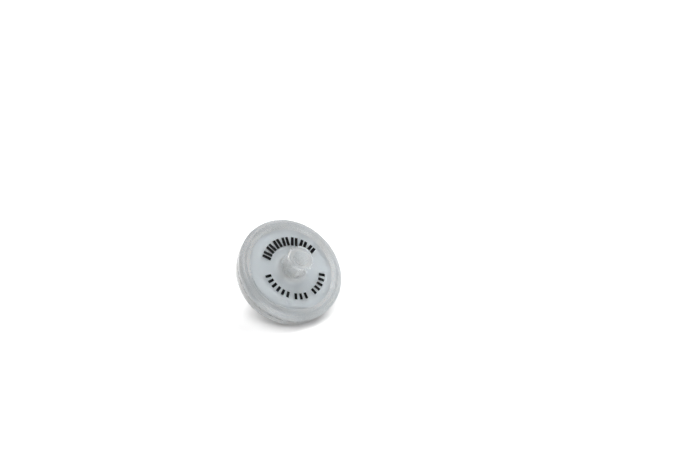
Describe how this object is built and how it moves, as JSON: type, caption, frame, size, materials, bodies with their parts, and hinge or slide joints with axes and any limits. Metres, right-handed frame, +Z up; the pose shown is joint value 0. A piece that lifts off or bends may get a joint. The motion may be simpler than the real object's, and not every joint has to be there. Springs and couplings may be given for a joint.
{
  "type": "syringe filter",
  "caption": "Disc-shaped syringe filter with a locking Luer inlet hub, a male Luer outlet nozzle and a welded two-part housing around stacked filter media.",
  "frame": {"origin": "on the surface that the part lies on, under the middle of its overall box", "axes": "+Z up from that surface; +X along the disc's level diameter; the inlet hub points up and towards -Y and the outlet nozzle down and towards +Y"},
  "size_m": [0.0312, 0.0262, 0.024],
  "materials": {
    "inlet_plastic": "milky translucent moulded polypropylene, satin",
    "outlet_plastic": "milky translucent moulded polypropylene, satin",
    "glass_fibre": "soft white glass-fibre felt",
    "fine_glass_fibre": "fine white glass-fibre paper",
    "membrane": "matt ivory-white membrane",
    "ink": "black pad-printed ink"
  },
  "bodies": {
    "root": {"inlet_housing": "inlet_plastic", "outlet_housing": "outlet_plastic", "graded_prefilter": "glass_fibre", "fine_prefilter": "fine_glass_fibre", "membrane": "membrane", "printed_marks": "ink"}
  },
  "joints": []
}
